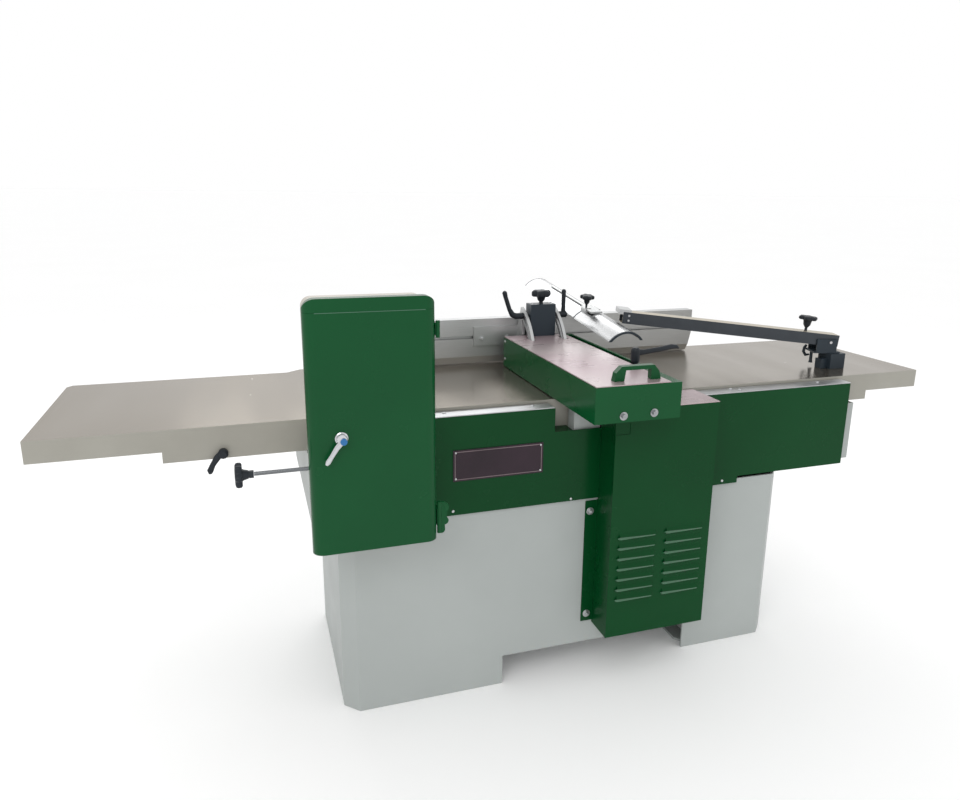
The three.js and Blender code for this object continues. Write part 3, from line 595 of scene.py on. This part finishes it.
# ---------------------------------------------------------------- bridge guard
def arch(half, rise, thickness, start, end, steps=40):
    """Arched sheet in the guard's own frame, in mm."""
    def arc(width, height):
        radius = (width * width + height * height) / (2 * height)
        reach = math.asin(width / radius)
        angles = [reach * (1 - 2 * i / steps) for i in range(steps + 1)]
        return [(radius * math.sin(a), radius * (math.cos(a) - math.cos(reach))) for a in angles]
    outer = arc(half, rise)
    inner = arc(half - thickness * 1.4, rise - thickness)[::-1]
    outline = outer + inner
    stations = [start, start + 1.2, (start + end) / 2, end - 1.2, end]
    return ribbon([[Vector((x, y, z)) / 1000 for y, z in outline] for x in stations])


near = make("guard_near_sheet", *merged([arch(58.5, 30, 3, 0.5, 256)]), POLISHED, "near_guard", GUARD)
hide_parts("guard_near")
make("guard_near_rim", *merged([arch(58.9, 30.4, 6.5, -0.6, 4.5), arch(58.9, 30.4, 3.6, 252, 258)]),
     SLATE, "near_guard", GUARD)
far = make("guard_far_sheet", *arch(53.9, 26, 3, 120, 686.5), POLISHED, "far_guard", GUARD)
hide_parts("guard_far")
make("guard_far_rim", *arch(54.2, 26.3, 4.2, 682, 687), SLATE, "far_guard", GUARD)


def slab(x0, x1, y0, y1, z0, z1, chamfer=1.0):
    """A bar with chamfered long edges, in mm."""
    c = chamfer
    ring = [(y0 + c, z0), (y1 - c, z0), (y1, z0 + c), (y1, z1 - c), (y1 - c, z1), (y0 + c, z1),
            (y0, z1 - c), (y0, z0 + c)]
    return ribbon([[Vector((x, y, z)) / 1000 for y, z in ring] for x in (x0, x0 + c, x1 - c, x1)])


saddle = make("guard_clamp", *merged([
    slab(196, 272, -16, 26, 31, 37), slab(222, 258, -22, -15, 14, 37), slab(222, 258, 25, 32, 14, 37),
    slab(258, 560, -5, 5, 27, 31.5), slab(234, 260, 6, 30, 36, 39),
]), FENCE, "near_guard", GUARD)
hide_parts("guard_saddle")

# ---------------------------------------------------------------- swivel hook and its stop screw
swivel = member(at(2359, 98, 0), 162.3, 0)
make("swivel_hook", *merged([
    limb([(78, -66, 905), (84, -66, 896), (86, -66, 882), (78, -66, 870), (66, -66, 872)],
         [(4, 4), (5, 5), (5, 5), (5, 5), (3, 3)]),
    limb([(64, -60, 921), (64, -70, 921)], [(9, 9), (9, 9)]),
    limb([(70, -40, 892), (70, -40, 858), (70, -40, 850)], [(5, 5), (5, 5), (7, 7)]),
]), SLATE, "swivel", swivel)

# ---------------------------------------------------------------- louvre lips and the door's top edge, both with painted highlight in a lighter green
LOUVRE_COLUMNS = ((1453, 1565), (1601, 1717))
LOUVRE_ROWS = 7
LOUVRE_LOW = 272
LOUVRE_PITCH = 32
COVER_FACE = -140.8
LIP_SECTION = ((0, -0.45), (0.8, -0.5), (0.97, -0.25), (1, 0.25), (0.9, 0.8), (0.72, 1.15), (0, 0.7))

lips = []
for start, end in LOUVRE_COLUMNS:
    # along the louvre: place, how far the lip stands out, and how tall it is
    stations = ((start - 6, 0.4, 0.5), (start - 5, 4.0, 2.6), (start - 2, 8.2, 4.4), (start + 3, 9.4, 4.6),
                (start + 40, 9.4, 3.2), (end - 3, 9.2, 2.2), (end, 7.0, 1.8), (end + 3, 0.4, 0.4))
    for row in range(LOUVRE_ROWS):
        z = LOUVRE_LOW + row * LOUVRE_PITCH - 3.2
        lips.append(ribbon([[at(x, COVER_FACE - out * reach, z + tall * lift)
                             for reach, lift in LIP_SECTION] for x, out, tall in stations]))
# The lips' lighter green stands in for light catching them: painted highlight.
make("louvre_lips", *merged(lips), LOUVRE_LIP_HIGHLIGHT, "machine")
# A thin lighter-green strip along the door's top edge: painted highlight where the edge catches light.
edge = [[at(x, y, z) for y, z in ((-216, 1138.6), (-217.4, 1138.6), (-217.4, 1140.2), (-216, 1140.2))]
        for x in (642, 889)]
make("door_top_painted_highlight", *ribbon(edge), PAINTED_EDGE_HIGHLIGHT, "door", smooth=False)

# ---------------------------------------------------------------- blank plate, its border and rivets
low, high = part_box("nameplate")


def frame_ring(inset, thick, lift, sunk=0.0004):
    """Four flat strips that run round inside the plate's edge."""
    x0, x1 = low[0] + inset, high[0] - inset
    z0, z1 = low[2] + inset, high[2] - inset
    strips = ((x0, x1, z0, z0 + thick), (x0, x1, z1 - thick, z1),
              (x0, x0 + thick, z0 + thick, z1 - thick), (x1 - thick, x1, z0 + thick, z1 - thick))
    return merged([ribbon([[Vector((x, y, z)) for x, z in ((a0, b0), (a1, b0), (a1, b1), (a0, b1))]
                           for y in (low[1] + sunk, low[1] - lift)])
                   for a0, a1, b0, b1 in strips])


make("plate_border", *frame_ring(0.004, 0.0022, 0.0006), PLATE_EDGE, "machine")
fasteners("plate_rivets", [(x, -56.4, z) for z in (657, 730) for x in (1003, 1244)], (0, -1, 0),
          "machine", 3.0, 1.8)

# ---------------------------------------------------------------- fasteners
fasteners("panel_screws", [(996, -54, 565), (1341, -54, 559), (1839, -54, 556), (700, -54, 561)],
          (0, -1, 0), "machine", 4.2, 2.6)
fasteners("ledge_screws", [(981, -22, 832), (1230, -22, 832), (1868, -16, 832), (1889, -32, 832),
                           (2180, -22, 832)], (0, 0, 1), "machine", 5.5, 3.0)
fasteners("cover_bolts", [(1404, -50.4, 512), (1406, -50.4, 184)], (0, -1, 0), "machine", 6.0, 6.5, 11.5)
fasteners("bridge_far_screws", [(1300, 410, 868), (1300, 410, 925)], (-1, 0, 0), "carriage", 4.6, 3.0)
fasteners("post_screws", [(x, y, 1044) for x in (1392, 1458) for y in (410, 430)], (0, 0, 1),
          "carriage", 3.4, 1.6)
fasteners("plate_bolt", [(1240, 471.6, 927), (1330, 471.6, 927)], (0, -1, 0), "tilt", 5.0, 4.5, 9.0)

arm_side = ARM.to_3x3() @ Vector((0, 1, 0))
for index in range(2):
    spot = ARM @ Vector((0.702, 0.0004, -0.011 - 0.016 * index))
    make(f"arm_end_screw_{index + 1}", *screw(3.8, 2.0), ZINC, "arm", turned(spot, arm_side))

# ---------------------------------------------------------------- floor, light and camera
floor_z = cad_box[0][2]
bpy.ops.mesh.primitive_plane_add(size=900, location=(0, 0, floor_z - 0.0005))
floor = bpy.context.object
floor.name = "studio_floor"
n = Nodes("studio_floor")
tone = n.ramp(n.noise(0.6, 2), [(0.3, (0.955, 0.955, 0.955)), (0.7, (0.965, 0.965, 0.965))])
n.principled(Base_Color=tone, Roughness=0.75, Specular_IOR_Level=0.1,
             Emission_Color=(1.0, 1.0, 1.0, 1.0), Emission_Strength=0.035)
floor.data.materials.append(n.material)

world = bpy.data.worlds.new("studio")
bpy.context.scene.world = world
world.use_nodes = True
backdrop = world.node_tree.nodes["Background"]
backdrop.inputs["Color"].default_value = (1.0, 1.0, 1.0, 1.0)
backdrop.inputs["Strength"].default_value = 1.0


def softbox(name, location, target, size, power):
    light = bpy.data.lights.new(name, "AREA")
    light.shape = "RECTANGLE"
    light.size, light.size_y = size
    light.energy = power
    obj = bpy.data.objects.new(name, light)
    bpy.context.scene.collection.objects.link(obj)
    obj.location = location
    obj.rotation_euler = (Vector(target) - Vector(location)).to_track_quat("-Z", "Y").to_euler()
    return obj


softbox("key", (-2.2, -3.6, 3.6), (0, 0, 0.6), (2.6, 2.0), 44)
softbox("fill", (3.4, -2.6, 2.6), (0.2, 0, 0.6), (2.0, 2.0), 4)
softbox("back", (0.4, 3.4, 3.0), (0, 0.2, 0.9), (3.5, 1.2), 34)

camera_data = bpy.data.cameras.new("camera")
camera = bpy.data.objects.new("camera", camera_data)
bpy.context.scene.collection.objects.link(camera)
bpy.context.scene.camera = camera
azimuth, elevation, roll = (math.radians(v) for v in (-18.407, 14.185, 0.613))
back = Vector((math.sin(azimuth) * math.cos(elevation), -math.cos(azimuth) * math.cos(elevation),
               math.sin(elevation)))
right_axis = Vector((math.cos(azimuth), math.sin(azimuth), 0))
up_axis = back.cross(right_axis)
rolled_right = right_axis * math.cos(roll) + up_axis * math.sin(roll)
rolled_up = -right_axis * math.sin(roll) + up_axis * math.cos(roll)
pose = Matrix((rolled_right, rolled_up, back)).transposed().to_4x4()
pose.translation = at(501.76, -1866.55, 1400.11)
camera.matrix_world = pose
camera_data.sensor_width = 36.0
camera_data.lens = 28.27
camera_data.shift_x = -0.0136
camera_data.shift_y = -0.0193
camera_data.clip_end = 1500

bpy.context.scene.view_settings.view_transform = "Standard"
bpy.context.scene.view_settings.look = "None"
